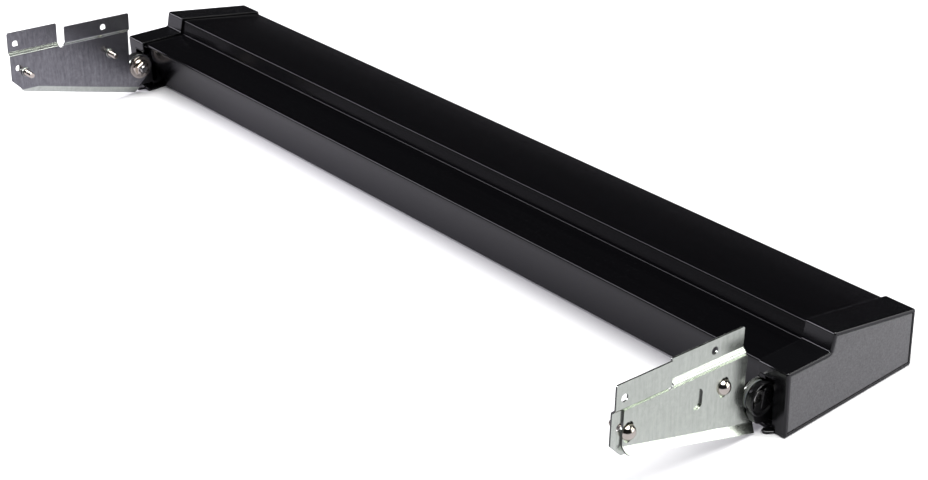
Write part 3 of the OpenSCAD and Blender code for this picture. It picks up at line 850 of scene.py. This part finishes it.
def build_arm(side):
    """Slotted sheet that swings on the pivot, with its lower edge turned out."""
    along = Vector((math.cos(LIP_SLOPE), -math.sin(LIP_SLOPE)))
    lip_edge = LIP_FRONT + LIP_DOWN * LIP_DEPTH
    lower_front = lip_edge + along * ((-ARM_REACH - lip_edge.x) / along.x)
    lip_rear = LIP_FRONT + along * ((-2 - LIP_FRONT.x) / along.x)
    lower_rear = lip_rear + LIP_DOWN * LIP_DEPTH
    outline = rounded(corners((-REAR_SETBACK, ARM_RISE), (-ARM_REACH, ARM_RISE), lower_front, lower_rear,
                              lip_rear + Vector((0.4, 0))), (1, 1.5, 9, 1.2, 2))
    ear = arc((0, 0), EAR_RADIUS, -60, 158.2, 28)
    holes = [circle((0, 0), PIVOT_DIAMETER / 2 + 0.08), *(slot(y) for y in SLOT_YS)]
    bm = cut_sheet([*outline, *ear], holes, ARM_X + SHEET / 2)
    for distance in LIP_SCORES:
        score(bm, LIP_FRONT + LIP_DOWN * distance, LIP_DOWN)
    for distance in CREASE_SCORES:
        score(bm, CREASE_FOOT + CREASE_DOWN * distance, CREASE_DOWN)
    for y in EAR_SCORES:
        score(bm, Vector((y, 0)), Vector((1, 0)))
    bend_arm(bm)
    place_on_bracket(bm, side)
    piece = finish_piece(f"{side}_arm_sheet", bm, side, f"{side}_bracket_arm", ZINC_SHEET,
                         (f"{side}_arm",))
    add_thickness(piece)
    add_bevel(piece, 0.5, 3)


# ---- Plate ----
def bend_plate(bm):
    """Joggles the front flange outwards and the rear flange inwards."""
    notch = (NOTCH_FRONT + NOTCH_REAR) / 2
    for vert in bm.verts:
        sign = 1 if vert.co.y < notch else -1
        vert.co.x += sign * JOGGLE * smooth_step(JOGGLE_FOOT, JOGGLE_TOP, vert.co.z)


def build_plate(side):
    """Sliding plate with its two joggled flanges, fixing holes and clamp collars."""
    top_front, top_rear = JOGGLE_TOP + FRONT_FLANGE, JOGGLE_TOP + REAR_FLANGE
    notch = (NOTCH_FRONT + NOTCH_REAR) / 2
    points = [(PLATE_FRONT + PLATE_CHAMFER, PLATE_FOOT), (-REAR_SETBACK, PLATE_FOOT),
              (-REAR_SETBACK, top_rear), (NOTCH_REAR, top_rear),
              (NOTCH_REAR, JOGGLE_FOOT), (notch, JOGGLE_FOOT - 2.5),
              (NOTCH_FRONT, JOGGLE_FOOT), (NOTCH_FRONT, top_front), (PLATE_FRONT, top_front),
              (PLATE_FRONT, PLATE_FOOT + PLATE_CHAMFER)]
    radii = (2, 0.8, 1.2, 0.8, 0.6, 0.8, 0.6, 0.8, 1.2, 2)
    outline = rounded(corners(*points), radii, 3)
    fixing_holes = ((HOLE_Y, HOLE_Z), (HOLE_Y + HOLE_PITCH, HOLE_Z), (HOLE_Y, HOLE_Z - LOWER_HOLE_DROP))
    holes = [circle(place, HOLE_DIAMETER / 2, 32) for place in fixing_holes]
    holes += [circle((y, SLOT_Z), CLAMP_DIAMETER / 2 + 0.05, 24) for y in BOLT_YS]
    bm = cut_sheet(outline, holes, PLATE_X + SHEET / 2)
    rise = JOGGLE_TOP - JOGGLE_FOOT
    for share in JOGGLE_SCORES:
        score(bm, Vector((0, JOGGLE_FOOT + share * rise)), Vector((0, 1)))
    bend_plate(bm)
    place_on_bracket(bm, side, LIFT[side])
    piece = finish_piece(f"{side}_plate_sheet", bm, side, f"{side}_bracket_plate", ZINC_SHEET,
                         (f"{side}_plate",))
    add_thickness(piece)
    add_bevel(piece, 0.3)

    bm = bmesh.new()
    inner, outer = CLAMP_DIAMETER / 2 + 0.05, CLAMP_DIAMETER / 2 + 1.6
    tip_x, root_x = PLATE_X - 1.8, PLATE_X + 0.1
    collar = rounded_rows([(tip_x, inner), (tip_x, outer), (root_x, outer + 0.4), (root_x, inner)],
                          0.4, closed=True)
    for y in BOLT_YS:
        turned(bm, collar, (y, SLOT_Z), 40, closed=True)
    place_on_bracket(bm, side, LIFT[side])
    finish_piece(f"{side}_plate_collars", bm, side, f"{side}_bracket_plate", ZINC_SHEET)


def build_clamp_bolts(side):
    """Two dome-head bolts with threaded shanks."""
    dome_x = ARM_X + SHEET + SHEET_GAP
    height = DOME_TOP_X - dome_x
    radius = (DOME_DIAMETER ** 2 / 4 + height ** 2) / (2 * height)
    half_angle = math.asin(DOME_DIAMETER / 2 / radius)
    dome = [(dome_x, 2.5), (dome_x, DOME_DIAMETER / 2 - 0.25), (dome_x + 0.25, DOME_DIAMETER / 2)]
    dome += [(DOME_TOP_X - radius * (1 - math.cos(a)), radius * math.sin(a))
             for a in (half_angle * (1 - step / 10) * 0.97 for step in range(11))]
    dome[-1] = (DOME_TOP_X, 0.05)
    for number, y in enumerate(BOLT_YS, 1):
        bm = bmesh.new()
        turned(bm, dome, (y, SLOT_Z), 64)
        threaded(bm, SHANK_TIP_X, dome_x + 0.2, CLAMP_DIAMETER - 0.02, CLAMP_PITCH, (y, SLOT_Z), 24)
        place_on_bracket(bm, side, LIFT[side])
        finish_piece(f"{side}_clamp_bolt_{number}", bm, side, f"{side}_bracket_plate", NICKEL,
                     (f"{side}_clamp_bolts",))


def dress_small_parts():
    """Better finishes for the CAD nodes that stay as they are."""
    finishes = {"friction_washer": NYLON, "cap_screws": SCREW_ZINC, "lug_screws": SCREW_ZINC}
    for side in SIDES:
        for part, finish in finishes.items():
            for socket in frame["nodes"][f"{side}_{part}"].material_slots:
                socket.material = finish[0]


# ---- Studio ----
CAMERA_PLACE = (1.1468, -0.8548, 0.7587)
CAMERA_ANGLES = (50.89, 28.45, -2.32)    # azimuth, elevation and roll, in degrees
FOCAL_LENGTH, SENSOR_WIDTH = 69.28, 36
FLOOR_REACH = 6.0
FLOOR_SEEN, FLOOR_IN_REFLECTIONS = (0.93, 0.93, 0.93), (0.455, 0.445, 0.48)
SURROUNDINGS = (0.014, 0.014, 0.015, 1)


def build_camera():
    """Long lens from the front right, looking down, with a slight roll."""
    azimuth, elevation, roll = (math.radians(angle) for angle in CAMERA_ANGLES)
    back = Vector((math.sin(azimuth) * math.cos(elevation), -math.cos(azimuth) * math.cos(elevation),
                   math.sin(elevation)))
    right = Vector((0, 0, 1)).cross(back).normalized()
    up = back.cross(right)
    turned_right = math.cos(roll) * right + math.sin(roll) * up
    turned_up = math.cos(roll) * up - math.sin(roll) * right
    lens = bpy.data.cameras.new("camera")
    lens.lens, lens.sensor_width = FOCAL_LENGTH, SENSOR_WIDTH
    lens.clip_start, lens.clip_end = 0.05, 50
    camera = bpy.data.objects.new("camera", lens)
    camera.matrix_world = Matrix((turned_right, turned_up, back)).transposed().to_4x4()
    camera.location = CAMERA_PLACE
    bpy.context.scene.collection.objects.link(camera)
    bpy.context.scene.camera = camera


def area_light(name, place, aim, size, power, colour=(1, 1, 1)):
    light = bpy.data.lights.new(name, "AREA")
    light.shape, light.size, light.size_y = "RECTANGLE", size[0], size[1]
    light.energy, light.color = power, colour
    lamp = bpy.data.objects.new(name, light)
    lamp.location = place
    lamp.visible_camera = False
    lamp.rotation_mode = "QUATERNION"
    lamp.rotation_quaternion = (Vector(aim) - Vector(place)).to_track_quat("-Z", "Y")
    bpy.context.scene.collection.objects.link(lamp)


def build_studio():
    """White floor, dim surroundings and soft lights."""
    bm = bmesh.new()
    bm.faces.new([bm.verts.new((x * FLOOR_REACH, y * FLOOR_REACH, 0))
                  for x, y in ((-1, -1), (1, -1), (1, 1), (-1, 1))])
    mesh = bpy.data.meshes.new("floor")
    bm.to_mesh(mesh)
    bm.free()
    floor = bpy.data.objects.new("floor", mesh)
    floor.location.z = -0.0002
    bpy.context.scene.collection.objects.link(floor)
    material = bpy.data.materials.new("White floor")
    material.use_nodes = True
    tree = material.node_tree
    shader = tree.nodes["Principled BSDF"]
    seen = node(tree, "LightPath").outputs["Is Camera Ray"]
    colour = blend_colour(tree, seen, FLOOR_IN_REFLECTIONS, FLOOR_SEEN)
    tree.links.new(colour, shader.inputs["Base Color"])
    shader.inputs["Roughness"].default_value = 0.9
    shader.inputs["Specular IOR Level"].default_value = 0.1
    mesh.materials.append(material)

    world = bpy.data.worlds.new("studio")
    world.use_nodes = True
    world.node_tree.nodes["Background"].inputs[0].default_value = SURROUNDINGS
    world.node_tree.nodes["Background"].inputs[1].default_value = 1.0
    bpy.context.scene.world = world

    sun = bpy.data.lights.new("overhead", "SUN")
    sun.energy, sun.angle = 4.2, math.radians(50)
    overhead = bpy.data.objects.new("overhead", sun)
    overhead.rotation_euler = (math.radians(2), math.radians(9), 0)
    bpy.context.scene.collection.objects.link(overhead)
    area_light("right rear softbox", (1.55, 0.95, 0.41), (0.43, 0.0, 0.03), (1.5, 0.52), 7.5)
    area_light("front left strip", (-1.6, -1.15, 1.0), (-1.6, 0, 0.03), (2.6, 0.6), 38, (0.93, 0.9, 1.0))
    area_light("right edge strip", (1.45, 1.0, 1.15), (0.43, 0.05, 0.05), (1.6, 0.16), 5)
    bpy.context.scene.view_settings.view_transform = "Standard"


build_camera()
build_studio()
build_rail()
for end in SIDES:
    build_end_cap(end)
    build_window_rim(end)
    build_end_panel(end)
    build_lug(end)
    build_pivot(end)
    build_arm(end)
    build_plate(end)
    build_clamp_bolts(end)
dress_small_parts()
